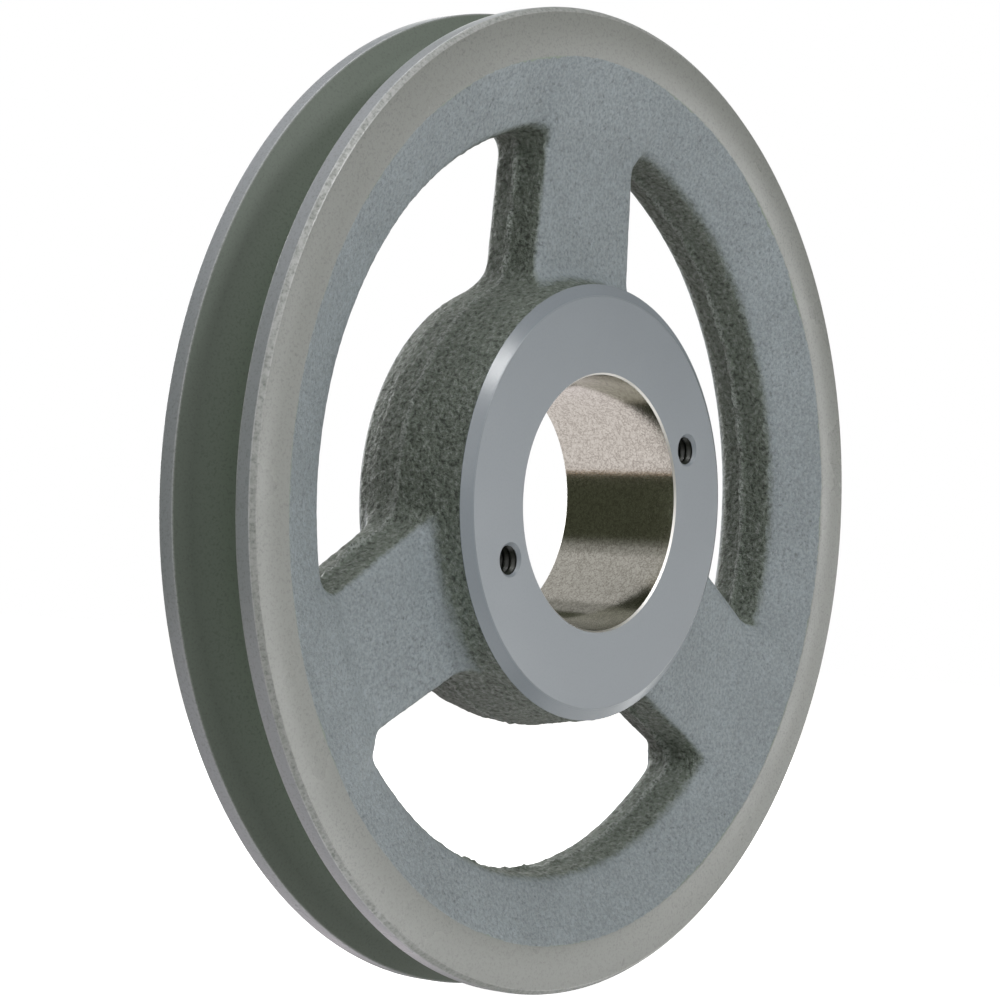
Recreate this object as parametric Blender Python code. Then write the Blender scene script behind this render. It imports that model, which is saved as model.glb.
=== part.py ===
"""V-belt pulley (single-groove sheave) for a split-taper bushing, modelled in metres with +Z up.

The pulley axis is the Y axis and the tapped hub face looks towards -Y.  The real part is one iron
casting, machined on the rim, groove, hub ends and bore.  It is built here as its named regions, each a
closed body of its own, with a hairline split of GAP between neighbours.
"""

import math

import bmesh
import bpy

# --- driving dimensions, metres -------------------------------------------------------------------
GAP = 0.0003                 # hairline split between neighbouring regions of the casting

RIM_RADIUS = 0.079375        # 6.25 in outside diameter
RIM_WIDTH = 0.01905          # 3/4 in across the rim
EDGE_CHAMFER = 0.000785      # chamfer on both outer edges of the rim
GROOVE_TOP = 0.01245         # groove width at the outside diameter
GROOVE_DEPTH = 0.0124
GROOVE_HALF_ANGLE = math.radians(19.0)
BAND_INNER = 0.0718          # machined flat band on each side face reaches in to this radius
RING_INNER = 0.0611          # outer radius of the three windows
RECESS_FRONT = 0.0037        # arms and ring sit this far below the front side face of the rim
RECESS_REAR = 0.0044         # and this far below the rear one
PARTING_DRAFT = 0.0005       # as-cast walls stand proud by this much at the parting line

HUB_LENGTH = 0.022225        # 7/8 in, proud of the rim at the front and flush with it at the back
HUB_RADIUS = 0.0352          # as-cast hub side at its front end
HUB_REAR_RADIUS = 0.0348     # at its rear end
HUB_PARTING_RADIUS = 0.0366  # at the parting plane between them, where the pattern halves meet
HUB_CHAMFER_RADIAL = 0.0020
HUB_CHAMFER_AXIAL = 0.0012
HUB_REAR_ROUND = 0.0006
BORE_FRONT_RADIUS = 0.0206375  # 1.625 in mouth
BORE_TAPER = 0.75 / 12.0       # 3/4 in per foot, on the diameter
BORE_CHAMFER = 0.0003

HOLE_CIRCLE_RADIUS = 0.0254  # two tapped holes on a 2 in circle
HOLE_ANGLE = math.radians(25.0)
HOLE_RADIUS = 0.0024
HOLE_CHAMFER = 0.0003

ARM_COUNT = 3
ARM_HALF_WIDTH_HUB = 0.0130  # half widths at the parting plane
ARM_HALF_WIDTH_RIM = 0.0118
ARM_EDGE_ROUND = 0.0008
HUB_CORNER = 0.0030          # corner radius of the windows beside the hub
RIM_CORNER = 0.0042          # corner radius of the windows beside the ring
HUB_FILLET = 0.0030          # fillet from the arm faces up to the hub side

RING_STEPS = 120
HOLE_STEPS = 24

# --- positions along the axis ---------------------------------------------------------------------
Y_HUB_FRONT = -HUB_LENGTH / 2
Y_HUB_REAR = HUB_LENGTH / 2
Y_RIM_REAR = Y_HUB_REAR
Y_RIM_FRONT = Y_RIM_REAR - RIM_WIDTH
Y_MIDDLE = (Y_RIM_FRONT + Y_RIM_REAR) / 2
RIM_HALF = RIM_WIDTH / 2
WEB_FRONT = RIM_HALF - RECESS_FRONT
WEB_REAR = RIM_HALF - RECESS_REAR
GROOVE_FLOOR = RIM_RADIUS - GROOVE_DEPTH


def clear_scene():
    for old in list(bpy.data.objects):
        bpy.data.objects.remove(old, do_unlink=True)


def surface_material(name, colour, roughness, metallic):
    material = bpy.data.materials.new(name)
    material.use_nodes = True
    shader = material.node_tree.nodes["Principled BSDF"]
    shader.inputs["Base Color"].default_value = (*colour, 1.0)
    shader.inputs["Roughness"].default_value = roughness
    shader.inputs["Metallic"].default_value = metallic
    return material


def add_object(name, bm, material=None):
    bmesh.ops.recalc_face_normals(bm, faces=bm.faces)
    mesh = bpy.data.meshes.new(name)
    bm.to_mesh(mesh)
    bm.free()
    obj = bpy.data.objects.new(name, mesh)
    bpy.context.scene.collection.objects.link(obj)
    if material is not None:
        mesh.materials.append(material)
    return obj


def turned(name, profile, steps, material=None, centre=(0.0, 0.0)):
    """Closed body turned about an axis parallel to Y; profile is a loop of (y, radius)."""
    bm = bmesh.new()
    rings = []
    for step in range(steps):
        angle = 2 * math.pi * step / steps
        cosine, sine = math.cos(angle), math.sin(angle)
        rings.append([
            bm.verts.new((centre[0] + r * cosine, y, centre[1] + r * sine)) for y, r in profile
        ])
    for step in range(steps):
        here, there = rings[step], rings[(step + 1) % steps]
        for i in range(len(profile)):
            j = (i + 1) % len(profile)
            bm.faces.new((here[i], here[j], there[j], there[i]))
    return add_object(name, bm, material)


def plug(name, profile, steps, centre=(0.0, 0.0)):
    """Solid turned cutter whose profile runs between its two flat ends."""
    bm = bmesh.new()
    rings = []
    for y, r in profile:
        rings.append([
            bm.verts.new((
                centre[0] + r * math.cos(2 * math.pi * k / steps),
                y,
                centre[1] + r * math.sin(2 * math.pi * k / steps),
            ))
            for k in range(steps)
        ])
    for lower, upper in zip(rings, rings[1:]):
        for k in range(steps):
            n = (k + 1) % steps
            bm.faces.new((lower[k], lower[n], upper[n], upper[k]))
    bm.faces.new(rings[0])
    bm.faces.new(list(reversed(rings[-1])))
    return add_object(name, bm)


def cut_away(target, cutter, solver="EXACT"):
    cutter.hide_render = True
    cutter.display_type = "WIRE"
    modifier = target.modifiers.new("cut", "BOOLEAN")
    modifier.operation = "DIFFERENCE"
    modifier.solver = solver
    modifier.object = cutter
    graph = bpy.context.evaluated_depsgraph_get()
    result = bpy.data.meshes.new_from_object(target.evaluated_get(graph))
    target.modifiers.clear()
    target.data = result
    bpy.data.objects.remove(cutter, do_unlink=True)


def finish_shading(obj):
    for polygon in obj.data.polygons:
        polygon.use_smooth = True
    obj.data.set_sharp_from_angle(angle=math.radians(30))


def groove_half_width(radius):
    return GROOVE_TOP / 2 - (RIM_RADIUS - radius) * math.tan(GROOVE_HALF_ANGLE)


def side_face(radius, side):
    """Distance of the as-cast side face of the rim from the middle plane."""
    recess = RECESS_FRONT if side < 0 else RECESS_REAR
    return RIM_HALF - recess * (BAND_INNER - radius) / (BAND_INNER - RING_INNER)


def make_flange(name, side, material):
    """Groove wall, land, chamfer and side face of the rim; side is -1 at the front, +1 at the back."""
    inner = GROOVE_FLOOR + GAP
    profile = [
        (groove_half_width(inner), inner),
        (groove_half_width(RIM_RADIUS), RIM_RADIUS),
        (RIM_HALF - EDGE_CHAMFER, RIM_RADIUS),
        (RIM_HALF, RIM_RADIUS - EDGE_CHAMFER),
        (RIM_HALF, BAND_INNER),
        (side_face(inner, side), inner),
    ]
    return turned(name, [(Y_MIDDLE + side * y, r) for y, r in profile], RING_STEPS, material)


def make_rim_ring(material):
    """Ring under the groove floor that the arms run into."""
    profile = [
        (-side_face(GROOVE_FLOOR, -1), GROOVE_FLOOR),
        (side_face(GROOVE_FLOOR, 1), GROOVE_FLOOR),
        (WEB_REAR, RING_INNER),
        (0.0, RING_INNER - PARTING_DRAFT),
        (-WEB_FRONT, RING_INNER),
    ]
    return turned("rim_ring", [(Y_MIDDLE + y, r) for y, r in profile], RING_STEPS, material)


def make_hub(material):
    bore_rear = BORE_FRONT_RADIUS - HUB_LENGTH * BORE_TAPER / 2
    profile = [
        (Y_HUB_FRONT, BORE_FRONT_RADIUS + BORE_CHAMFER),
        (Y_HUB_FRONT, HUB_RADIUS - HUB_CHAMFER_RADIAL),
        (Y_HUB_FRONT + HUB_CHAMFER_AXIAL, HUB_RADIUS),
        (Y_MIDDLE, HUB_PARTING_RADIUS),
        (Y_HUB_REAR - HUB_REAR_ROUND, HUB_REAR_RADIUS),
        (Y_HUB_REAR, HUB_REAR_RADIUS - HUB_REAR_ROUND),
        (Y_HUB_REAR, bore_rear + BORE_CHAMFER),
        (Y_HUB_REAR - BORE_CHAMFER, bore_rear),
        (Y_HUB_FRONT + BORE_CHAMFER, BORE_FRONT_RADIUS),
    ]
    hub = turned("hub", profile, RING_STEPS, material)
    over = 0.002
    drill = [
        (Y_HUB_FRONT - over, HOLE_RADIUS + HOLE_CHAMFER + over),
        (Y_HUB_FRONT + HOLE_CHAMFER, HOLE_RADIUS),
        (Y_HUB_REAR - HOLE_CHAMFER, HOLE_RADIUS),
        (Y_HUB_REAR + over, HOLE_RADIUS + HOLE_CHAMFER + over),
    ]
    for turn in range(2):
        angle = HOLE_ANGLE + math.pi * turn
        centre = (HOLE_CIRCLE_RADIUS * math.cos(angle), HOLE_CIRCLE_RADIUS * math.sin(angle))
        cut_away(hub, plug("drill", drill, HOLE_STEPS, centre))
    return hub


def fillet_rise(distance, radius):
    """Height of a quarter-round fillet at a distance from the wall it runs into."""
    reach = min(max(distance, 0.0), radius)
    return radius - math.sqrt(radius * radius - (radius - reach) ** 2)


def arm_section(radius):
    """Half width of an arm and how far its faces rise, at a radius from the pulley axis."""
    share = (radius - HUB_PARTING_RADIUS) / (RING_INNER - HUB_PARTING_RADIUS)
    share = min(max(share, 0.0), 1.0)
    width = ARM_HALF_WIDTH_HUB + (ARM_HALF_WIDTH_RIM - ARM_HALF_WIDTH_HUB) * share
    width += fillet_rise(radius - HUB_PARTING_RADIUS, HUB_CORNER)
    width += fillet_rise(RING_INNER - radius, RIM_CORNER)
    return width, fillet_rise(radius - HUB_PARTING_RADIUS, HUB_FILLET)


def arm_loop(radius):
    """Cross-section loop of an arm as (across, along the axis), widest at the parting line."""
    width, rise = arm_section(radius)
    r = ARM_EDGE_ROUND
    cut = 0.3 * r
    edge = width - PARTING_DRAFT
    right = [(width, 0.0)]
    for side, face in ((1, WEB_REAR + rise), (-1, WEB_FRONT + rise)):
        quarter = [(edge, side * (face - r)), (edge - cut, side * (face - cut)), (edge - r, side * face)]
        right = right + quarter if side > 0 else quarter[::-1] + right
    left = [(-x, y) for x, y in reversed(right)]
    return right + left


def arm_stations():
    start, end = HUB_PARTING_RADIUS, RING_INNER
    near = [start + HUB_CORNER * (1 - math.cos(math.pi / 2 * k / 6)) for k in range(7)]
    far = [end - RIM_CORNER * (1 - math.cos(math.pi / 2 * k / 6)) for k in range(6, -1, -1)]
    return [start - 0.003] + near + far + [end + 0.004]


def make_arm(name, angle, material):
    bm = bmesh.new()
    cosine, sine = math.cos(angle), math.sin(angle)
    rings = []
    for radius in arm_stations():
        ring = []
        for across, along in arm_loop(radius):
            out = math.sqrt(radius * radius - across * across)
            ring.append(bm.verts.new((
                out * cosine + across * sine,
                Y_MIDDLE + along,
                out * sine - across * cosine,
            )))
        rings.append(ring)
    for lower, upper in zip(rings, rings[1:]):
        for i in range(len(lower)):
            j = (i + 1) % len(lower)
            bm.faces.new((lower[i], lower[j], upper[j], upper[i]))
    bm.faces.new(rings[0])
    bm.faces.new(list(reversed(rings[-1])))
    bmesh.ops.triangulate(bm, faces=bm.faces)
    arm = add_object(name, bm, material)
    reach = RIM_WIDTH
    hub_side = [
        (-reach, HUB_RADIUS + GAP),
        (Y_HUB_FRONT + HUB_CHAMFER_AXIAL, HUB_RADIUS + GAP),
        (Y_MIDDLE, HUB_PARTING_RADIUS + GAP),
        (Y_HUB_REAR, HUB_REAR_RADIUS + GAP),
        (reach, HUB_REAR_RADIUS + GAP),
    ]
    cut_away(arm, plug("hub_side", hub_side, RING_STEPS), "MANIFOLD")
    outer = RING_INNER - GAP
    sleeve = [
        (-reach, outer),
        (Y_MIDDLE - WEB_FRONT, outer),
        (Y_MIDDLE, outer - PARTING_DRAFT),
        (Y_MIDDLE + WEB_REAR, outer),
        (reach, outer),
        (reach, RIM_RADIUS),
        (-reach, RIM_RADIUS),
    ]
    cut_away(arm, turned("ring_side", sleeve, RING_STEPS), "MANIFOLD")
    return arm


def build():
    clear_scene()
    cast = surface_material("cast_grey_paint", (0.235, 0.255, 0.268), 0.62, 0.0)
    turned_paint = surface_material("machined_grey_paint", (0.250, 0.262, 0.262), 0.42, 0.0)
    hub_paint = surface_material("hub_grey_paint", (0.285, 0.305, 0.330), 0.45, 0.0)
    parts = [
        make_hub(hub_paint),
        make_rim_ring(cast),
        make_flange("flange_front", -1, turned_paint),
        make_flange("flange_rear", 1, turned_paint),
    ]
    for index in range(ARM_COUNT):
        angle = math.pi / 2 + 2 * math.pi * index / ARM_COUNT
        parts.append(make_arm("arm_%d" % (index + 1), angle, cast))
    for part in parts:
        finish_shading(part)


build()
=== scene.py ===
"""Looks of a painted cast-iron V-belt pulley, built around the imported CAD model.

The casting is one sand-cast body with machined surfaces on it.  Its rough as-cast skin comes from one
signed-distance field, so hub, arms and ring run into each other through real fillets.  The skin is then
cut into hub, arm and ring pieces, which stand in for the CAD nodes of those names.  The cuts lie clear of
the fillets, so they are not at the radii of the CAD's own splits.  The machined surfaces are turned bodies
that lie just proud of the skin, so the line between rough and machined is as uneven as on a real casting.
Lengths are millimetres in the CAD frame until a mesh is made.
"""

import math

import bmesh
import bpy
import numpy as np
from mathutils import Matrix, Vector, noise


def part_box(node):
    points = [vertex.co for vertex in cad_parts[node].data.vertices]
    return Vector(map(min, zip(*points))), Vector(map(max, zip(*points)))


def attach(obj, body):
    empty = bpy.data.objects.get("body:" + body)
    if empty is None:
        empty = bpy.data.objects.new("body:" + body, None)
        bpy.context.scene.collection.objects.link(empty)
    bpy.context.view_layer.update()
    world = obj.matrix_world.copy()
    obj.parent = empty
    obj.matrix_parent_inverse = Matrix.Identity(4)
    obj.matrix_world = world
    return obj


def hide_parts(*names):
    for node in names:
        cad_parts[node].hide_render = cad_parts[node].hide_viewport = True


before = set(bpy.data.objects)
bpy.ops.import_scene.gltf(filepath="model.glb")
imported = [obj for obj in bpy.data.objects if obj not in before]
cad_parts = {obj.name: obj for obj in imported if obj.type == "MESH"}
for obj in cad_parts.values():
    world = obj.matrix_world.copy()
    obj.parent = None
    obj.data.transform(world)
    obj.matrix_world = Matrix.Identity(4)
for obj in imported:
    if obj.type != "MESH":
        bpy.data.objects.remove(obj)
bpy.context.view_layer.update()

MM = 0.001

# --- sizes read from the frame ----------------------------------------------------------------------
HUB_LOW, HUB_HIGH = (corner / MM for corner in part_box("hub"))
FRONT_LOW, FRONT_HIGH = (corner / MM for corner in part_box("flange_front"))
REAR_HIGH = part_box("flange_rear")[1] / MM
RING_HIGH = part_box("rim_ring")[1] / MM

Y_HUB_FRONT = HUB_LOW.y
Y_HUB_REAR = HUB_HIGH.y
PARTING_RADIUS = HUB_HIGH.x
RIM_RADIUS = FRONT_HIGH.x
GROOVE_FLOOR = RING_HIGH.x
RIM_HALF = (REAR_HIGH.y - FRONT_LOW.y) / 2
Y_MIDDLE = (REAR_HIGH.y + FRONT_LOW.y) / 2

# --- sizes of the casting that no node box gives ------------------------------------------------------
EDGE_CHAMFER = 0.785
GROOVE_HALF_TOP = 6.225
GROOVE_SLOPE = math.tan(math.radians(19.0))
BAND_INNER = 71.8
RING_INNER = 60.8
RECESS_FRONT = 3.7
RECESS_REAR = 4.4
PARTING_DRAFT = 0.7          # cast walls stand proud by this much at the parting line
FACE_GRAIN, FACE_SWELL = 0.035, 0.06  # height of the sand relief on the side faces
WALL_GRAIN, WALL_SWELL = 0.195, 0.10  # and what the cast walls have on top of that
RIDGE_HALF_WIDTH = 0.36      # the broken ridge along the parting line
RIDGE_HEIGHT = 0.80
HUB_RIDGE_HEIGHT = 0.20
HUB_RADIUS = 35.2
HUB_REAR_RADIUS = 34.8
HUB_CHAMFER_RADIAL = 2.0
HUB_CHAMFER_AXIAL = 1.2
HUB_REAR_ROUND = 0.6
BORE_RADIUS = 20.6375
BORE_TAPER = 0.75 / 24.0
BORE_CHAMFER = 0.3
ARM_ANGLES = [math.radians(90.0 + 120.0 * index) for index in range(3)]
ARM_HALF_HUB = 12.75
ARM_HALF_RIM = 11.6
ARM_EXTRA = (0.0, -0.15, 0.9)  # the third arm of the casting is a little wider
ARM_IN_HUB = 8.0             # how far the arms reach into the hub and into the ring
ARM_IN_RING = 4.0
HUB_FILLET = 3.6
RING_FILLET = 4.6
ARM_EDGE_ROUND = 1.5
RING_EDGE_ROUND = 1.8
HOLE_CIRCLE = 25.4
HOLE_ANGLES = [math.radians(25.0), math.radians(205.0)]
HOLE_REGION = 31.0           # the tapped holes lie inside this radius
THREAD_MINOR = 2.15
THREAD_MAJOR = 2.60
THREAD_PITCH = 1.27
MOUTH_RADIUS = 2.75          # of the broken edge at a tapped hole's mouth
MOUTH_FLARE = 0.7

SKIN_RADIUS = 74.0           # the cast skin ends here, under the turned rim
SKIN_IN_HUB = 1.6            # how far the shell of cast skin reaches in from the hub side
CORE_UNDER = 0.6             # how far the hub core lies inside the cast hub side
LAP = 0.03                   # how far a chamfer's foot lies inside the cast surface next to it
FOLD_RADIUS = 69.4           # the turned side band folds in under the cast cone here
FOLD_LEVEL = 68.5            # and lies this deep under the cone's surface at this radius
FOLD_DEPTH = 1.6
UNDER = 0.35                 # how far cast skin lies under a machined surface
SIDE_UNDER = 0.03            # the same at the side bands of the rim, where rough meets machined
SPLIT_HUB = 40.5             # the skin is cut into hub, arms and ring here, clear of the fillets
SPLIT_RING = 55.5
CUTTER_STEPS = 256
CUTTER_LENGTH = 60.0
LATHE_STEPS = 384
ROUND_STEPS = 4
SHARP_CAST = 55              # degrees between faces above which an edge is shaded sharp
SHARP_TURNED = 28
GRID_STEP = 0.42


# --- small helpers ------------------------------------------------------------------------------------
def smooth_min(a, b, reach):
    """Smaller of two distances, blended over reach so that surfaces meet in a fillet."""
    share = np.clip(0.5 + 0.5 * (b - a) / reach, 0.0, 1.0)
    return b + (a - b) * share - reach * share * (1.0 - share)


def smooth_max(a, b, reach):
    return -smooth_min(-a, -b, reach)


def mesh_from_arrays(name, points_mm, quads):
    """Mesh in metres from points in millimetres and quads of their numbers."""
    mesh = bpy.data.meshes.new(name)
    mesh.vertices.add(len(points_mm))
    mesh.vertices.foreach_set("co", (np.asarray(points_mm, float) * MM).astype(np.float32).ravel())
    mesh.loops.add(len(quads) * 4)
    mesh.loops.foreach_set("vertex_index", np.asarray(quads, np.int32).ravel())
    mesh.polygons.add(len(quads))
    mesh.polygons.foreach_set("loop_start", np.arange(len(quads), dtype=np.int32) * 4)
    mesh.update(calc_edges=True)
    mesh.validate()
    return mesh


def add_object(name, mesh):
    obj = bpy.data.objects.new(name, mesh)
    bpy.context.scene.collection.objects.link(obj)
    return obj


def evaluated_copy(obj):
    graph = bpy.context.evaluated_depsgraph_get()
    return bpy.data.meshes.new_from_object(obj.evaluated_get(graph))


def boolean(obj, tool, operation):
    """Mesh of obj cut by tool, or kept inside it."""
    modifier = obj.modifiers.new("cut", "BOOLEAN")
    modifier.operation = operation
    modifier.solver = "MANIFOLD"
    modifier.object = tool
    mesh = evaluated_copy(obj)
    obj.modifiers.remove(modifier)
    return mesh


def shade(mesh, degrees):
    """Smooth shading, with edges sharper than this left hard."""
    mesh.polygons.foreach_set("use_smooth", [True] * len(mesh.polygons))
    mesh.set_sharp_from_angle(angle=math.radians(degrees))


def finish_piece(obj, material, slot, *nodes):
    """Give a piece its paint and its body, and hide the CAD nodes it stands in for."""
    obj.data.materials.clear()
    obj.data.materials.append(material)
    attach(obj, "root")
    if nodes:
        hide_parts(*nodes)


# --- the as-cast skin -----------------------------------------------------------------------------------
def recess(y):
    """Depth of the arms and the ring's inner edge below the rim's side face."""
    return np.where(y < Y_MIDDLE, RECESS_FRONT, RECESS_REAR)


def hub_side(y):
    """Cast hub side, drafted both ways from the parting plane."""
    stations = (Y_HUB_FRONT + HUB_CHAMFER_AXIAL, Y_MIDDLE - 9.0, Y_MIDDLE, Y_MIDDLE + 4.5, Y_HUB_REAR)
    radii = (HUB_RADIUS - 0.1, HUB_RADIUS + 0.2, PARTING_RADIUS, PARTING_RADIUS - 0.4, HUB_REAR_RADIUS)
    return np.interp(y, stations, radii)


def hub_field(y, radius):
    """The cast hub, kept just inside its machined faces and chamfers."""
    body = np.maximum(radius - hub_side(y), np.abs(y) - (Y_HUB_REAR - UNDER))
    length = math.hypot(HUB_CHAMFER_RADIAL, HUB_CHAMFER_AXIAL)
    front = (radius - HUB_RADIUS + HUB_CHAMFER_RADIAL) * HUB_CHAMFER_AXIAL
    front = (front - (y - Y_HUB_FRONT) * HUB_CHAMFER_RADIAL) / length
    rear = (radius - HUB_REAR_RADIUS + HUB_REAR_ROUND + y - Y_HUB_REAR) / math.sqrt(2.0)
    return np.maximum(body, np.maximum(front, rear) + 0.06)


def ring_field(y, side, radius, draft):
    """The ring inside the rim, which is coned on its sides down to the arms."""
    slope = recess(y) / (BAND_INNER - RING_INNER)
    cone = (side - RIM_HALF + (BAND_INNER - radius) * slope) / np.sqrt(1.0 + slope * slope)
    body = smooth_max(RING_INNER - draft - radius, cone, RING_EDGE_ROUND)
    body = np.maximum(body, side - (RIM_HALF - SIDE_UNDER))
    return np.maximum(body, radius - SKIN_RADIUS)


def groove_field(side, radius):
    """The belt groove, cut deeper than the turned surface that covers it."""
    half = GROOVE_HALF_TOP - (RIM_RADIUS - radius) * GROOVE_SLOPE
    return np.maximum(side - half - 2 * UNDER, GROOVE_FLOOR - 2 * UNDER - radius)


def arm_field(x, z, depth, draft, angle, extra):
    """One straight arm, slightly narrower at the ring than at the hub."""
    along = x * math.cos(angle) + z * math.sin(angle)
    across = np.abs(x * math.sin(angle) - z * math.cos(angle))
    share = (along - PARTING_RADIUS) / (RING_INNER - PARTING_RADIUS)
    half = ARM_HALF_HUB + (ARM_HALF_RIM - ARM_HALF_HUB) * share + extra
    bar = smooth_max(across - half - draft, depth, ARM_EDGE_ROUND)
    ends = np.maximum(HUB_RADIUS - ARM_IN_HUB - along, along - RING_INNER - ARM_IN_RING)
    return np.maximum(bar, ends)


def skin_field(x, y, z):
    """Signed distance to the as-cast skin, negative inside the iron."""
    radius = np.hypot(x, z)
    side = np.abs(y - Y_MIDDLE)
    depth = side - RIM_HALF + recess(y)
    draft = PARTING_DRAFT * np.clip(-depth / (RIM_HALF - RECESS_FRONT), 0.0, 1.0)
    body = hub_field(y, radius)
    ring = ring_field(y, side, radius, draft)
    for angle, extra in zip(ARM_ANGLES, ARM_EXTRA):
        arm = arm_field(x, z, depth, draft, angle, extra)
        body = smooth_min(body, arm, HUB_FILLET)
    body = smooth_min(body, ring, RING_FILLET)
    body = np.maximum(body, HUB_RADIUS - SKIN_IN_HUB - radius)
    return np.maximum(body, -groove_field(side, radius))


def surface_net(field, low, step):
    """Closed quad mesh of the zero level of a sampled field."""
    # a cell that the surface passes through gets one point, at the mean of its crossed edges
    inside = field < 0
    nx, ny, nz = field.shape
    corners = [(i, j, k) for i in (0, 1) for j in (0, 1) for k in (0, 1)]
    count = np.zeros((nx - 1, ny - 1, nz - 1), np.int8)
    for i, j, k in corners:
        count += inside[i:nx - 1 + i, j:ny - 1 + j, k:nz - 1 + k]
    cells = np.argwhere((count > 0) & (count < 8))
    number = np.full(count.shape, -1, np.int32)
    number[tuple(cells.T)] = np.arange(len(cells))
    values = np.stack([field[tuple((cells + c).T)] for c in corners], 1)
    total = np.zeros((len(cells), 3))
    hits = np.zeros(len(cells))
    for a, first in enumerate(corners):
        for b, second in enumerate(corners):
            if b <= a or sum(abs(p - q) for p, q in zip(first, second)) != 1:
                continue
            crossed = (values[:, a] < 0) != (values[:, b] < 0)
            share = values[crossed, a] / (values[crossed, a] - values[crossed, b])
            place = np.array(first) + share[:, None] * (np.array(second) - np.array(first))
            total[crossed] += place
            hits[crossed] += 1
    points = low + step * (cells + total / hits[:, None])
    # a grid edge that the surface crosses gets one quad, through the four cells round it
    quads = []
    for axis in range(3):
        others = [(axis + 1) % 3, (axis + 2) % 3]
        here = [slice(1, n - 1) for n in field.shape]
        here[axis] = slice(0, field.shape[axis] - 1)
        there = list(here)
        there[axis] = slice(1, field.shape[axis])
        start, end = inside[tuple(here)], inside[tuple(there)]
        for flip, mask in ((False, start & ~end), (True, ~start & end)):
            edge = np.argwhere(mask) + 1
            edge[:, axis] -= 1
            ring = []
            for du, dv in ((-1, -1), (0, -1), (0, 0), (-1, 0)):
                cell = edge.copy()
                cell[:, others[0]] += du
                cell[:, others[1]] += dv
                ring.append(number[tuple(cell.T)])
            quad = np.stack(ring, 1)
            quads.append(quad[:, ::-1] if flip else quad)
    return points, np.concatenate(quads)


def sand_relief(point, normal):
    """Height of the sand-cast surface over its nominal one, with the ridge left at the parting line."""
    wall = max(0.0, 1.0 - 1.4 * abs(normal.y))
    grain = noise.noise(point * 0.80) + 0.7 * noise.noise(point * 1.45)
    swell = noise.noise(point * 0.085)
    height = (FACE_GRAIN + WALL_GRAIN * wall) * grain + (FACE_SWELL + WALL_SWELL * wall) * swell
    middle = (point.y - Y_MIDDLE + 0.5 * noise.noise(point * 0.12)) / RIDGE_HALF_WIDTH
    if wall > 0.3 and abs(middle) < 2.5:
        broken = max(0.0, 0.6 + 1.0 * noise.noise(point * 0.25) + 0.5 * noise.noise(point * 1.1))
        ridge = RIDGE_HEIGHT if point.xz.length > PARTING_RADIUS + 1.5 else HUB_RIDGE_HEIGHT
        height += ridge * broken * math.exp(-middle * middle)
    return height


def under_turned_rim(point, normal):
    """True where the skin faces outwards beneath the turned groove, where relief would break through it."""
    radius = point.xz.length
    return radius > RING_INNER + 1.0 and point.x * normal.x + point.z * normal.z > 0.15 * radius


def make_skin_mesh():
    margin = 2.0 * GRID_STEP
    low = np.array([-SKIN_RADIUS, Y_HUB_FRONT, -SKIN_RADIUS]) - margin
    high = np.array([SKIN_RADIUS, Y_HUB_REAR, SKIN_RADIUS]) + margin
    axes = [np.arange(a, b, GRID_STEP) for a, b in zip(low, high)]
    x, y, z = np.meshgrid(*axes, indexing="ij", sparse=True)
    field = skin_field(x, y, z).astype(np.float32)
    points, quads = surface_net(field, low, GRID_STEP)
    mesh = mesh_from_arrays("skin", points, quads)
    moved = []
    for vertex in mesh.vertices:
        point = vertex.co / MM
        buried = under_turned_rim(point, vertex.normal)
        lift = 0.0 if buried else sand_relief(point, vertex.normal)
        place = point + vertex.normal * lift
        if place.xz.length > RING_INNER:
            top = RIM_HALF - SIDE_UNDER
            place.y = min(max(place.y, Y_MIDDLE - top), Y_MIDDLE + top)
        moved.append(place)
    mesh.vertices.foreach_set("co", (np.array(moved, float) * MM).astype(np.float32).ravel())
    mesh.update()
    return mesh


def drum(name, radius):
    """Solid cylinder on the pulley axis, used only as a cutter."""
    bm = bmesh.new()
    turn = Matrix.Rotation(math.pi / 2, 4, "X")
    bmesh.ops.create_cone(
        bm, cap_ends=True, segments=CUTTER_STEPS, radius1=radius * MM, radius2=radius * MM,
        depth=CUTTER_LENGTH * MM, matrix=turn,
    )
    mesh = bpy.data.meshes.new(name)
    bm.to_mesh(mesh)
    bm.free()
    return add_object(name, mesh)


def loose_parts(mesh):
    """Separate closed bodies of a mesh, as (centre, mesh) pairs."""
    bm = bmesh.new()
    bm.from_mesh(mesh)
    bm.verts.ensure_lookup_table()
    seen = set()
    groups = []
    for start in bm.verts:
        if start.index in seen:
            continue
        stack, group = [start], []
        seen.add(start.index)
        while stack:
            vert = stack.pop()
            group.append(vert.index)
            for edge in vert.link_edges:
                other = edge.other_vert(vert)
                if other.index not in seen:
                    seen.add(other.index)
                    stack.append(other)
        groups.append(set(group))
    parts = []
    for group in groups:
        part = bm.copy()
        part.verts.ensure_lookup_table()
        bmesh.ops.delete(part, geom=[v for v in part.verts if v.index not in group], context="VERTS")
        centre = sum((v.co for v in part.verts), Vector()) / len(part.verts)
        out = bpy.data.meshes.new("part")
        part.to_mesh(out)
        part.free()
        parts.append((centre, out))
    bm.free()
    return parts


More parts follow.
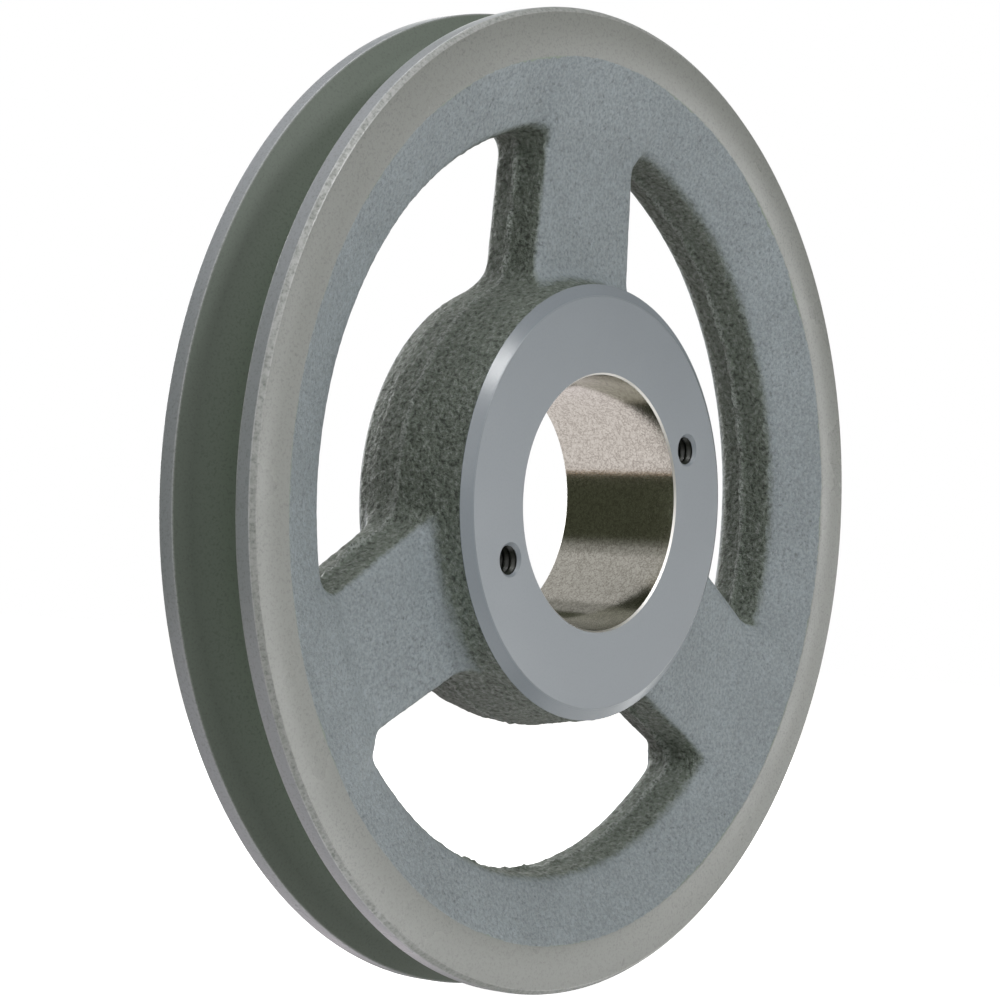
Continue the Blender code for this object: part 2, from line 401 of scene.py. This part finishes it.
def make_cast_pieces(material):
    """The skin, cut into hub, ring and arms, each riding on the root body under its own name."""
    whole = add_object("skin_whole", make_skin_mesh())
    inner, outer = drum("split_hub", SPLIT_HUB), drum("split_ring", SPLIT_RING)
    hub = add_object("hub_skin", boolean(whole, inner, "INTERSECT"))
    ring = add_object("rim_ring_skin", boolean(whole, outer, "DIFFERENCE"))
    between = add_object("between", boolean(whole, inner, "DIFFERENCE"))
    arms_mesh = boolean(between, outer, "INTERSECT")
    arms = [None] * len(ARM_ANGLES)
    for centre, part in loose_parts(arms_mesh):
        turn = math.degrees(math.atan2(centre.z, centre.x)) % 360.0
        index = round((turn - 90.0) / 120.0) % 3
        arms[index] = add_object("arm_%d_skin" % (index + 1), part)
    for tool in (whole, inner, outer, between):
        bpy.data.objects.remove(tool, do_unlink=True)
    for obj in [hub, ring] + arms:
        shade(obj.data, SHARP_CAST)
    finish_piece(hub, material, "cast_paint")
    finish_piece(ring, material, "cast_paint", "rim_ring")
    for index, arm in enumerate(arms):
        finish_piece(arm, material, "cast_paint", "arm_%d" % (index + 1))


# --- the machined surfaces ------------------------------------------------------------------------------
def rounded_loop(corners):
    """Closed loop of (along, radius) points; a corner given with a third value is rounded to that radius."""
    loop = []
    count = len(corners)
    for index, corner in enumerate(corners):
        here = np.array(corner[:2], float)
        size = corner[2] if len(corner) > 2 else 0.0
        if size == 0.0:
            loop.append(tuple(here))
            continue
        before = np.array(corners[index - 1][:2], float) - here
        after = np.array(corners[(index + 1) % count][:2], float) - here
        before /= np.linalg.norm(before)
        after /= np.linalg.norm(after)
        half = math.acos(np.clip(before @ after, -1, 1)) / 2
        reach = size / math.tan(half)
        middle = (before + after) / np.linalg.norm(before + after) * size / math.sin(half)
        first = here + before * reach
        last = here + after * reach
        a, b = first - here - middle, last - here - middle
        angle = math.acos(np.clip(a @ b / (size * size), -1, 1))
        for step in range(ROUND_STEPS + 1):
            t = step / ROUND_STEPS
            mix = (math.sin((1 - t) * angle) * a + math.sin(t * angle) * b) / math.sin(angle)
            loop.append(tuple(here + middle + mix))
    return loop


def lathe_mesh(name, loop):
    """Closed body turned about the pulley axis from a loop of (y, radius)."""
    loop = np.array(loop)
    steps = LATHE_STEPS
    angles = np.arange(steps) * 2 * math.pi / steps
    points = np.empty((steps, len(loop), 3))
    points[:, :, 0] = np.cos(angles)[:, None] * loop[None, :, 1]
    points[:, :, 1] = loop[None, :, 0]
    points[:, :, 2] = np.sin(angles)[:, None] * loop[None, :, 1]
    size = len(loop)
    i, j = np.meshgrid(np.arange(steps), np.arange(size), indexing="ij")
    i2, j2 = (i + 1) % steps, (j + 1) % size
    quads = np.stack([i * size + j, i * size + j2, i2 * size + j2, i2 * size + j], -1).reshape(-1, 4)
    area = 0.5 * np.sum(loop[:, 0] * np.roll(loop[:, 1], -1) - np.roll(loop[:, 0], -1) * loop[:, 1])
    if area < 0:
        quads = quads[:, ::-1]
    return mesh_from_arrays(name, points.reshape(-1, 3), quads)


def make_flange(name, side, material, node):
    """Groove wall and half the groove floor, land, chamfer and machined side band."""
    wall_foot = GROOVE_HALF_TOP - (RIM_RADIUS - GROOVE_FLOOR) * GROOVE_SLOPE
    slope = (RECESS_FRONT if side < 0 else RECESS_REAR) / (BAND_INNER - RING_INNER)
    under_cone = RIM_HALF - (BAND_INNER - FOLD_LEVEL) * slope - FOLD_DEPTH
    corners = [
        (0.0, GROOVE_FLOOR),
        (wall_foot, GROOVE_FLOOR, 0.8),
        (GROOVE_HALF_TOP, RIM_RADIUS, 0.25),
        (RIM_HALF - EDGE_CHAMFER, RIM_RADIUS, 0.2),
        (RIM_HALF, RIM_RADIUS - EDGE_CHAMFER, 0.2),
        (RIM_HALF, BAND_INNER),
        (RIM_HALF - 1.0 * slope - 0.08, BAND_INNER - 1.0),
        (under_cone, FOLD_RADIUS),
        (under_cone, GROOVE_FLOOR - 1.0),
        (0.0, GROOVE_FLOOR - 1.0),
    ]
    loop = [(Y_MIDDLE + side * y, r) for y, r in rounded_loop(corners)]
    obj = add_object(name, lathe_mesh(name, loop))
    shade(obj.data, SHARP_TURNED)
    finish_piece(obj, material, "machined_paint", node)


def thread_cutter(name, angle):
    """Rod with a blunted V thread that cuts a tapped hole right through the hub."""
    around, per_pitch, over = 48, 12, 1.0
    rows = int((Y_HUB_REAR - Y_HUB_FRONT + 2 * over) / THREAD_PITCH * per_pitch)
    points = []
    for row in range(rows + 1):
        y = Y_HUB_FRONT - over + row * THREAD_PITCH / per_pitch
        for k in range(around):
            turn = 2 * math.pi * k / around
            phase = (y / THREAD_PITCH - k / around) % 1.0
            crest = min(1.0, max(0.0, 2.4 * abs(phase - 0.5) - 0.1))
            radius = THREAD_MINOR + (THREAD_MAJOR - THREAD_MINOR) * crest
            points.append((radius * math.cos(turn), y, radius * math.sin(turn)))
    centre = (HOLE_CIRCLE * math.cos(angle), HOLE_CIRCLE * math.sin(angle))
    bm = bmesh.new()
    verts = [bm.verts.new(((centre[0] + x) * MM, y * MM, (centre[1] + z) * MM)) for x, y, z in points]
    for row in range(rows):
        for k in range(around):
            n = (k + 1) % around
            a, b = row * around, (row + 1) * around
            bm.faces.new((verts[a + k], verts[a + n], verts[b + n], verts[b + k]))
    bm.faces.new(verts[:around])
    bm.faces.new(list(reversed(verts[-around:])))
    bmesh.ops.recalc_face_normals(bm, faces=bm.faces)
    mesh = bpy.data.meshes.new(name)
    bm.to_mesh(mesh)
    bm.free()
    return add_object(name, mesh)


def mouth_cutter(name, angle, y_face, outwards):
    """Shallow cone that breaks the edge of a tapped hole's mouth."""
    bm = bmesh.new()
    centre = Vector((HOLE_CIRCLE * math.cos(angle), y_face, HOLE_CIRCLE * math.sin(angle))) * MM
    turn = Matrix.Rotation(-outwards * math.pi / 2, 4, "X")
    place = Matrix.Translation(centre) @ turn
    bmesh.ops.create_cone(
        bm, cap_ends=True, segments=64, radius1=(MOUTH_RADIUS - MOUTH_FLARE) * MM,
        radius2=(MOUTH_RADIUS + MOUTH_FLARE) * MM, depth=2 * MOUTH_FLARE * MM, matrix=place,
    )
    mesh = bpy.data.meshes.new(name)
    bm.to_mesh(mesh)
    bm.free()
    return add_object(name, mesh)


def bore_radius(y):
    return BORE_RADIUS - (y - Y_HUB_FRONT) * BORE_TAPER


def make_hub_core(material):
    """Machined hub: faces, chamfers and tapped holes, inside the cast skin of its side."""
    corners = [
        (Y_HUB_FRONT, BORE_RADIUS + BORE_CHAMFER),
        (Y_HUB_FRONT, HUB_RADIUS - HUB_CHAMFER_RADIAL, 0.25),
        (Y_HUB_FRONT + HUB_CHAMFER_AXIAL - 0.02, HUB_RADIUS - LAP),
        (Y_HUB_FRONT + HUB_CHAMFER_AXIAL + 0.8, HUB_RADIUS - CORE_UNDER),
        (Y_HUB_REAR - HUB_REAR_ROUND - 0.6, HUB_REAR_RADIUS - CORE_UNDER),
        (Y_HUB_REAR - HUB_REAR_ROUND, HUB_REAR_RADIUS - LAP),
        (Y_HUB_REAR, HUB_REAR_RADIUS - HUB_REAR_ROUND, 0.1),
        (Y_HUB_REAR, bore_radius(Y_HUB_REAR) + BORE_CHAMFER),
        (Y_HUB_REAR - 1.0, bore_radius(Y_HUB_REAR) + BORE_CHAMFER),
        (Y_HUB_FRONT + 1.0, BORE_RADIUS + BORE_CHAMFER),
    ]
    core = add_object("hub_core", lathe_mesh("hub_core", rounded_loop(corners)))
    for index, angle in enumerate(HOLE_ANGLES):
        cutters = [
            thread_cutter("thread_%d" % index, angle),
            mouth_cutter("mouth_front_%d" % index, angle, Y_HUB_FRONT, -1),
            mouth_cutter("mouth_rear_%d" % index, angle, Y_HUB_REAR, 1),
        ]
        for cutter in cutters:
            core.data = boolean(core, cutter, "DIFFERENCE")
            bpy.data.objects.remove(cutter, do_unlink=True)
    shade(core.data, SHARP_TURNED)
    finish_piece(core, material, "hub_paint", "hub")


def make_bore_lining(material):
    """Bare machined wall of the tapered bore, with its bright mouth chamfers."""
    outer = BORE_RADIUS + BORE_CHAMFER
    rear = bore_radius(Y_HUB_REAR)
    lift = 0.004
    loop = [
        (Y_HUB_FRONT - lift, outer),
        (Y_HUB_FRONT + BORE_CHAMFER, BORE_RADIUS),
        (Y_HUB_REAR - BORE_CHAMFER, rear),
        (Y_HUB_REAR + lift, rear + BORE_CHAMFER),
        (Y_HUB_REAR - 1.5, rear + 0.9),
        (Y_HUB_FRONT + 1.5, outer + 0.6),
    ]
    obj = add_object("bore_lining", lathe_mesh("bore_lining", loop))
    shade(obj.data, SHARP_TURNED)
    finish_piece(obj, material, "bare_bore")


# --- materials ------------------------------------------------------------------------------------------
# dark of the random mottle and the paint speckle, and painted shade in the hollows of the cast grain
SPECKLE_AND_PAINTED_SHADE = (0.050, 0.060, 0.050)
# painted highlight on the crests of the cast grain and on the parting seam
CREST_PAINTED_HIGHLIGHT = (0.40, 0.43, 0.42)
# near black painted shade inside the tapped holes
HOLE_PAINTED_SHADE = (0.020, 0.024, 0.018)
BARE_IRON = (0.51, 0.53, 0.455)
VEIN_SHADE = (0.135, 0.125, 0.095)
FLECK_SHADE = (0.23, 0.22, 0.18)
# rubbed chamfers and lips: bare iron showing, and painted lighter as a highlight
BARE_EDGE_AND_HIGHLIGHT = (0.54, 0.54, 0.55)
# painted highlight on the broken edge at each mouth of the bore
MOUTH_PAINTED_HIGHLIGHT = (0.80, 0.78, 0.76)
CAST_FACE = (0.362, 0.410, 0.452)
# the wall colour is the face paint made darker and greener: painted shade on the walls
CAST_WALL_PAINTED_SHADE = (0.208, 0.246, 0.209)
TURNED_BAND = (0.316, 0.324, 0.314)
# the groove colour is painted shade, lightened towards the floor as painted fill light
TURNED_GROOVE_PAINTED_SHADE = (0.150, 0.178, 0.151)
# the land colour is the band paint made lighter: painted light on the lands
TURNED_LAND_WITH_PAINTED_LIGHT = (0.415, 0.445, 0.480)
HUB_FACE = (0.297, 0.327, 0.368)


class Tree:
    """Thin wrapper that keeps material building short."""

    def __init__(self, name):
        self.material = bpy.data.materials.new(name)
        self.material.use_nodes = True
        self.nodes = self.material.node_tree.nodes
        self.links = self.material.node_tree.links
        self.shader = self.nodes["Principled BSDF"]
        self.place = self.nodes.new("ShaderNodeTexCoord").outputs["Object"]

    def link(self, source, target):
        self.links.new(source, target)

    def noise(self, scale, detail=3.0, rough=0.55, vector=None):
        node = self.nodes.new("ShaderNodeTexNoise")
        node.inputs["Scale"].default_value = scale
        node.inputs["Detail"].default_value = detail
        node.inputs["Roughness"].default_value = rough
        self.link(vector or self.place, node.inputs["Vector"])
        return node.outputs["Fac"]

    def math(self, operation, a, b=None):
        node = self.nodes.new("ShaderNodeMath")
        node.operation = operation
        for socket, value in zip(node.inputs, (a, b)):
            if value is None:
                continue
            if isinstance(value, (int, float)):
                socket.default_value = value
            else:
                self.link(value, socket)
        return node.outputs["Value"]

    def ramp(self, source, low, high, to_low=0.0, to_high=1.0):
        node = self.nodes.new("ShaderNodeMapRange")
        node.inputs["From Min"].default_value = low
        node.inputs["From Max"].default_value = high
        node.inputs["To Min"].default_value = to_low
        node.inputs["To Max"].default_value = to_high
        self.link(source, node.inputs["Value"])
        return node.outputs["Result"]

    def mix(self, factor, first, second):
        node = self.nodes.new("ShaderNodeMix")
        node.data_type = "RGBA"
        self.link(factor, node.inputs["Factor"])
        for key, value in (("A", first), ("B", second)):
            socket = [s for s in node.inputs if s.name == key and s.type == "RGBA"][0]
            if isinstance(value, tuple):
                socket.default_value = (*value, 1.0)
            else:
                self.link(value, socket)
        return [s for s in node.outputs if s.type == "RGBA"][0]

    def bump(self, height, distance, normal=None):
        node = self.nodes.new("ShaderNodeBump")
        node.inputs["Distance"].default_value = distance
        node.inputs["Strength"].default_value = 1.0
        self.link(height, node.inputs["Height"])
        if normal is not None:
            self.link(normal, node.inputs["Normal"])
        return node.outputs["Normal"]

    def split(self, vector):
        """The X, Y and Z outputs of a vector."""
        node = self.nodes.new("ShaderNodeSeparateXYZ")
        self.link(vector, node.inputs["Vector"])
        return node.outputs

    def radius(self):
        """Distance from the pulley axis, in metres."""
        place = self.split(self.place)
        squares = [self.math("MULTIPLY", place[axis], place[axis]) for axis in ("X", "Z")]
        return self.math("SQRT", self.math("ADD", *squares))

    def from_hub_middle(self):
        """Distance from the plane halfway along the hub, in metres."""
        return self.math("ABSOLUTE", self.split(self.place)["Y"])

    def facing(self):
        """How squarely a surface faces along the pulley axis, 0 on walls and 1 on side faces."""
        return self.math("ABSOLUTE", self.split(self.place.node.outputs["Normal"])["Y"])

    def hole_depth(self):
        """1 inside the tapped holes of the hub, 0 on every open surface."""
        depth = self.math("SUBTRACT", Y_HUB_REAR * MM, self.from_hub_middle())
        deep = self.ramp(depth, 0.5 * MM, 0.9 * MM)
        near = self.ramp(self.radius(), (HOLE_REGION + 0.5) * MM, HOLE_REGION * MM)
        return self.math("MULTIPLY", deep, near)

    def side(self):
        """Distance from the middle plane of the rim, in metres."""
        along = self.split(self.place)["Y"]
        return self.math("ABSOLUTE", self.math("SUBTRACT", along, Y_MIDDLE * MM))

    def worn_edge_and_highlight(self):
        """1 on the outer chamfers of the rim and on the groove lips, where the paint is rubbed thin; the
        same mask lays a painted highlight there.
        """
        reach = self.math("ADD", self.radius(), self.side())
        edge = (RIM_RADIUS + RIM_HALF - EDGE_CHAMFER) * MM
        chamfer = self.ramp(reach, edge - 0.12 * MM, edge - 0.02 * MM)
        lip = self.math("SUBTRACT", self.radius(), self.math("MULTIPLY", self.side(), 0.8))
        corner = (RIM_RADIUS - 0.8 * GROOVE_HALF_TOP) * MM
        rubbed_and_highlit_lip = self.ramp(lip, corner - 0.26 * MM, corner - 0.12 * MM, 0.0, 0.5)
        edge_wear_and_highlight = self.math("MAXIMUM", chamfer, rubbed_and_highlit_lip)
        patchy = self.ramp(self.noise(1300.0, 3.0), 0.30, 0.62, 0.35, 0.75)
        return self.math("MULTIPLY", edge_wear_and_highlight, patchy)

    def close(self, colour, roughness, normal):
        self.link(colour, self.shader.inputs["Base Color"])
        self.link(roughness, self.shader.inputs["Roughness"])
        self.link(normal, self.shader.inputs["Normal"])
        return self.material


def shaded(colour, factor):
    return tuple(value * factor for value in colour)


def cast_paint():
    """Matt grey paint over a sand-cast surface: open grain, deeper on the walls than on the faces; the walls
    are painted darker as shade, the grain's hollows painted shade, its crests and the parting seam painted
    highlight.
    """
    tree = Tree("cast_paint")
    inside = tree.ramp(tree.side(), 4.6 * MM, 4.0 * MM)
    wall = tree.math("MAXIMUM", tree.ramp(tree.facing(), 0.80, 0.35), inside)
    pebble = tree.noise(1350.0, 3.0, 0.62)
    fine = tree.noise(2500.0, 2.0, 0.5)
    blotch = tree.ramp(tree.noise(75.0, 3.0), 0.35, 0.65)
    face = tree.mix(blotch, shaded(CAST_FACE, 0.94), shaded(CAST_FACE, 1.06))
    # walls take a darker, greener copy of the face paint: painted shade on the walls
    side = tree.mix(blotch, shaded(CAST_WALL_PAINTED_SHADE, 0.94), shaded(CAST_WALL_PAINTED_SHADE, 1.06))
    colour = tree.mix(wall, face, side)
    mottle = tree.ramp(tree.noise(1700.0, 2.0), 0.32, 0.68)
    colour = tree.mix(tree.math("MULTIPLY", mottle, 0.34), colour, SPECKLE_AND_PAINTED_SHADE)
    # the hollows of the coarse and the fine grain, where the bumps dip, are darkened: painted shade
    clusters = tree.ramp(tree.noise(55.0, 2.0), 0.42, 0.60, 0.35, 1.0)
    shallow = tree.math("MULTIPLY", tree.ramp(pebble, 0.43, 0.33, 0.0, 0.36), clusters)
    deep = tree.ramp(pebble, 0.47, 0.36, 0.0, 0.80)
    hollow = tree.math("MAXIMUM", shallow, tree.math("MULTIPLY", deep, wall))
    colour = tree.mix(hollow, colour, SPECKLE_AND_PAINTED_SHADE)
    colour = tree.mix(tree.ramp(fine, 0.43, 0.34, 0.0, 0.25), colour, SPECKLE_AND_PAINTED_SHADE)
    # crests of the grain on the walls and the broken seam at the parting line are lightened: painted
    # highlight
    crest = tree.math("MULTIPLY", tree.ramp(pebble, 0.54, 0.66), tree.ramp(wall, 0.0, 1.0, 0.12, 0.55))
    colour = tree.mix(crest, colour, CREST_PAINTED_HIGHLIGHT)
    parting = tree.ramp(tree.side(), 0.60 * MM, 0.15 * MM)
    seam = tree.math("MULTIPLY", parting, tree.ramp(fine, 0.40, 0.60, 0.0, 0.9))
    colour = tree.mix(tree.math("MULTIPLY", seam, inside), colour, CREST_PAINTED_HIGHLIGHT)
    depth = tree.ramp(wall, 0.0, 1.0, 0.30, 1.0)
    normal = tree.bump(tree.math("MULTIPLY", pebble, depth), 0.88 * MM)
    normal = tree.bump(fine, 0.08 * MM, normal)
    roughness = tree.ramp(pebble, 0.3, 0.7, 0.62, 0.46)
    return tree.close(colour, roughness, normal)


def machined_paint(name, regions, polished, satin, grain):
    """Satin grey paint over turned iron: faint concentric marks under thin, slightly speckled paint.

    regions gives the colour and satin the roughness; polished is 1 where the paint is rubbed shiny, and
    grain is the strength of the speckle.
    """
    tree = Tree(name)
    cloud = tree.ramp(tree.noise(70.0, 4.0), 0.3, 0.7)
    speckle = tree.noise(2600.0, 2.0)
    combine = tree.nodes.new("ShaderNodeCombineXYZ")
    tree.link(tree.radius(), combine.inputs["X"])
    marks = tree.noise(5200.0, 2.0, 0.6, combine.outputs["Vector"])
    colour = regions(tree)
    colour = tree.mix(tree.math("MULTIPLY", tree.ramp(speckle, 0.50, 0.25), grain), colour, SPECKLE_AND_PAINTED_SHADE)
    normal = tree.bump(marks, 0.010 * MM)
    normal = tree.bump(speckle, 0.06 * MM * grain, normal)
    clouded = tree.math("ADD", tree.ramp(cloud, 0.0, 1.0, -0.04, 0.04), satin(tree))
    roughness = tree.math("MINIMUM", clouded, tree.ramp(polished(tree), 0.0, 1.0, 1.0, 0.23))
    return tree.close(colour, roughness, normal)


def rim_paint():
    """Groove, lands, side bands and rubbed chamfers of the rim, with painted shade in the groove, painted
    light on the lands and a painted highlight on the chamfers and lips.
    """
    def turned(tree):
        on_land = tree.ramp(tree.radius(), (RIM_RADIUS - 0.15) * MM, (RIM_RADIUS - 0.05) * MM)
        on_band = tree.ramp(tree.side(), (RIM_HALF - 0.15) * MM, (RIM_HALF - 0.05) * MM)
        return on_land, on_band

    def satin(tree):
        return tree.ramp(tree.math("MAXIMUM", *turned(tree)), 0.0, 1.0, 0.60, 0.30)

    def regions(tree):
        on_land, on_band = turned(tree)
        # the groove is a darker, greener copy of the band paint, made 2.6 times lighter towards its floor:
        # painted shade in the groove, with painted light filling its deep part
        low, high = (RIM_RADIUS - 12.0) * MM, (RIM_RADIUS - 3.0) * MM
        groove = tree.mix(tree.ramp(tree.radius(), low, high), shaded(TURNED_GROOVE_PAINTED_SHADE, 2.6), TURNED_GROOVE_PAINTED_SHADE)
        # the lands are painted lighter than the band: painted light on the lands
        colour = tree.mix(on_land, groove, TURNED_LAND_WITH_PAINTED_LIGHT)
        colour = tree.mix(on_band, colour, TURNED_BAND)
        edge_wear_and_highlight = tree.worn_edge_and_highlight()
        tree.link(tree.math("MULTIPLY", edge_wear_and_highlight, 0.3), tree.shader.inputs["Metallic"])
        # the rubbed chamfers and lips are painted lighter: partly rubbed paint, partly a painted highlight
        return tree.mix(edge_wear_and_highlight, colour, BARE_EDGE_AND_HIGHLIGHT)

    return machined_paint("machined_paint", regions, Tree.worn_edge_and_highlight, satin, 0.30)


def hub_paint():
    """Hub faces and chamfers, with painted shade darkening the insides of the tapped holes."""
    def regions(tree):
        low, high = shaded(HUB_FACE, 0.98), shaded(HUB_FACE, 1.02)
        colour = tree.mix(tree.ramp(tree.noise(70.0, 4.0), 0.3, 0.7), low, high)
        # the insides of the tapped holes are painted near black: painted shade
        return tree.mix(tree.hole_depth(), colour, HOLE_PAINTED_SHADE)

    def chamfer(tree):
        edge = HUB_RADIUS - HUB_CHAMFER_RADIAL
        return tree.ramp(tree.radius(), (edge - 0.2) * MM, (edge + 0.2) * MM)

    def satin(tree):
        return 0.35

    return machined_paint("hub_paint", regions, chamfer, satin, 0.05)


def bare_iron():
    """Reamed grey iron: bright, finely veined, with a warm tinge, and a broken edge at each mouth painted
    lighter as a highlight.
    """
    tree = Tree("bare_bore")
    tree.shader.inputs["Metallic"].default_value = 1.0
    vein = tree.noise(850.0, 5.0, 0.68)
    fine = tree.noise(3200.0, 2.0)
    line = tree.math("ABSOLUTE", tree.math("SUBTRACT", vein, 0.5))
    colour = tree.mix(tree.ramp(line, 0.0, 0.032, 0.72, 0.0), BARE_IRON, VEIN_SHADE)
    colour = tree.mix(tree.ramp(fine, 0.36, 0.62, 0.35, 0.0), colour, FLECK_SHADE)
    normal = tree.bump(vein, 0.012 * MM)
    chamfer_foot = Y_HUB_REAR - BORE_CHAMFER
    mouth = tree.ramp(tree.from_hub_middle(), (chamfer_foot - 0.03) * MM, (chamfer_foot + 0.03) * MM)
    # the broken edge at each mouth is painted much lighter than the bore: a painted highlight
    colour = tree.mix(mouth, colour, MOUTH_PAINTED_HIGHLIGHT)
    return tree.close(colour, tree.ramp(mouth, 0.0, 1.0, 0.14, 0.45), normal)


# --- stage, light and camera -----------------------------------------------------------------------------
def make_floor():
    bm = bmesh.new()
    bmesh.ops.create_grid(bm, x_segments=1, y_segments=1, size=30.0)
    mesh = bpy.data.meshes.new("floor")
    bm.to_mesh(mesh)
    bm.free()
    floor = add_object("floor", mesh)
    floor.location.z = -RIM_RADIUS * MM
    material = bpy.data.materials.new("floor_white")
    material.use_nodes = True
    shader = material.node_tree.nodes["Principled BSDF"]
    shader.inputs["Base Color"].default_value = (0.93, 0.93, 0.93, 1.0)
    shader.inputs["Roughness"].default_value = 0.9
    shader.inputs["Emission Color"].default_value = (1.0, 1.0, 1.0, 1.0)
    shader.inputs["Emission Strength"].default_value = 1.0
    mesh.materials.append(material)
    floor.visible_diffuse = False
    floor.visible_glossy = False
    floor.visible_shadow = False


def make_world():
    """White behind the object, and a dimmer soft surround as its own light."""
    world = bpy.data.worlds.new("studio")
    bpy.context.scene.world = world
    world.use_nodes = True
    nodes, links = world.node_tree.nodes, world.node_tree.links
    nodes.clear()
    output = nodes.new("ShaderNodeOutputWorld")
    mix = nodes.new("ShaderNodeMixShader")
    path = nodes.new("ShaderNodeLightPath")
    seen = nodes.new("ShaderNodeBackground")
    seen.inputs["Color"].default_value = (1.0, 1.0, 1.0, 1.0)
    surround = nodes.new("ShaderNodeBackground")
    surround.inputs["Color"].default_value = (0.98, 1.0, 0.70, 1.0)
    surround.inputs["Strength"].default_value = 0.085
    links.new(path.outputs["Is Camera Ray"], mix.inputs["Fac"])
    links.new(surround.outputs["Background"], mix.inputs[1])
    links.new(seen.outputs["Background"], mix.inputs[2])
    links.new(mix.outputs["Shader"], output.inputs["Surface"])


WHITE = (1.0, 1.0, 1.0)
CEILING_TINT = (1.00, 0.92, 1.00)
TABLE_TINT = (1.00, 0.88, 0.97)
TABLE_EDGE_TINT = (1.00, 0.50, 0.22)
UP, DOWN = (0, 0, 1), (0, 0, -1)


def area_light(name, place, size, power, colour, facing=None):
    """Rectangular light aimed at the pulley, or along facing when that is given."""
    light = bpy.data.lights.new(name, "AREA")
    light.shape = "RECTANGLE"
    light.size, light.size_y = size
    light.energy = power
    light.color = colour
    obj = bpy.data.objects.new(name, light)
    obj.location = place
    obj.rotation_mode = "QUATERNION"
    obj.rotation_quaternion = Vector(facing or [-value for value in place]).to_track_quat("-Z", "Y")
    bpy.context.scene.collection.objects.link(obj)
    return obj


def make_lights():
    """Soft boxes round the pulley, smaller ones that its chamfers mirror, and what the bore mirrors."""
    area_light("front_left", (-0.35, -0.65, 0.33), (0.7, 0.6), 1.74, WHITE)
    area_light("close_left", (-0.50, -0.44, 0.10), (0.9, 0.8), 0.68, WHITE)
    area_light("left", (-1.2, -0.02, 0.05), (0.35, 1.0), 1.0, WHITE)
    area_light("front_high", (0.06, -0.83, 0.56), (0.26, 0.16), 2.5, WHITE)
    sheen = area_light("sheen", (0.77, -0.87, -0.06), (0.20, 0.5), 2.1, WHITE)
    area_light("front_low", (0.1, -0.8, -0.7), (0.5, 0.4), 0.5, WHITE)
    right = area_light("right", (1.1, -0.3, -0.4), (1.2, 1.1), 5.5, WHITE)
    area_light("right_fill", (1.2, 0.15, -0.1), (0.8, 0.8), 3.0, WHITE)
    area_light("top", (0.0, 0.1, 1.1), (0.9, 0.5), 4.2, WHITE)
    area_light("below", (0.0, -0.3, -1.0), (0.8, 0.6), 3.2, WHITE)
    area_light("rear", (0.15, 1.2, 0.3), (0.9, 0.7), 9.0, WHITE)
    area_light("rear_right", (0.8, 0.8, 0.3), (0.8, 0.8), 2.5, WHITE)
    glint = area_light("glint", (-0.26, -0.55, 0.80), (0.4, 0.16), 2.0, WHITE)
    strips = (
        ("ceiling", -0.45, 1.4, 2.2),
        ("ceiling_fade", -1.35, 0.40, 0.35),
        ("ceiling_dusk", -1.75, 0.40, 0.12),
        ("ceiling_end", 0.45, 0.40, 0.32),
    )
    for name, x, width, power in strips:
        area_light(name, (x, 1.05, 1.1), (width, 0.75), power, CEILING_TINT, DOWN)
    table = area_light("table", (-0.09, 0.60, -0.5), (1.38, 0.8), 3.9, TABLE_TINT, UP)
    edge = area_light("table_edge", (-0.80, 0.60, -0.5), (0.05, 0.8), 0.07, TABLE_EDGE_TINT, UP)
    for light in (right, glint, sheen, table, edge):
        light.visible_diffuse = False


def make_camera():
    """Long lens, a little below the middle of the pulley and well round to its left."""
    data = bpy.data.cameras.new("camera")
    data.lens = 107.73
    data.sensor_width = 36.0
    data.clip_start, data.clip_end = 0.01, 50.0
    camera = bpy.data.objects.new("camera", data)
    azimuth, elevation, roll = math.radians(-51.985), math.radians(-2.797), math.radians(4.136)
    distance = 0.47903
    aim = Vector((-0.012519, 0.0, -0.000888))
    back = Vector((
        math.sin(azimuth) * math.cos(elevation),
        -math.cos(azimuth) * math.cos(elevation),
        math.sin(elevation),
    ))
    right = Vector((0, 0, 1)).cross(back).normalized()
    up = back.cross(right)
    tilted_right = right * math.cos(roll) + up * math.sin(roll)
    tilted_up = up * math.cos(roll) - right * math.sin(roll)
    frame_axes = Matrix((tilted_right, tilted_up, back)).transposed()
    camera.matrix_world = Matrix.Translation(aim + back * distance) @ frame_axes.to_4x4()
    bpy.context.scene.collection.objects.link(camera)
    bpy.context.scene.camera = camera


def main():
    make_camera()
    make_world()
    make_lights()
    make_floor()
    bpy.context.scene.view_settings.view_transform = "Standard"
    turned = rim_paint()
    make_cast_pieces(cast_paint())
    make_flange("flange_front_turned", -1, turned, "flange_front")
    make_flange("flange_rear_turned", 1, turned, "flange_rear")
    make_hub_core(hub_paint())
    make_bore_lining(bare_iron())


main()
bpy.context.view_layer.update()
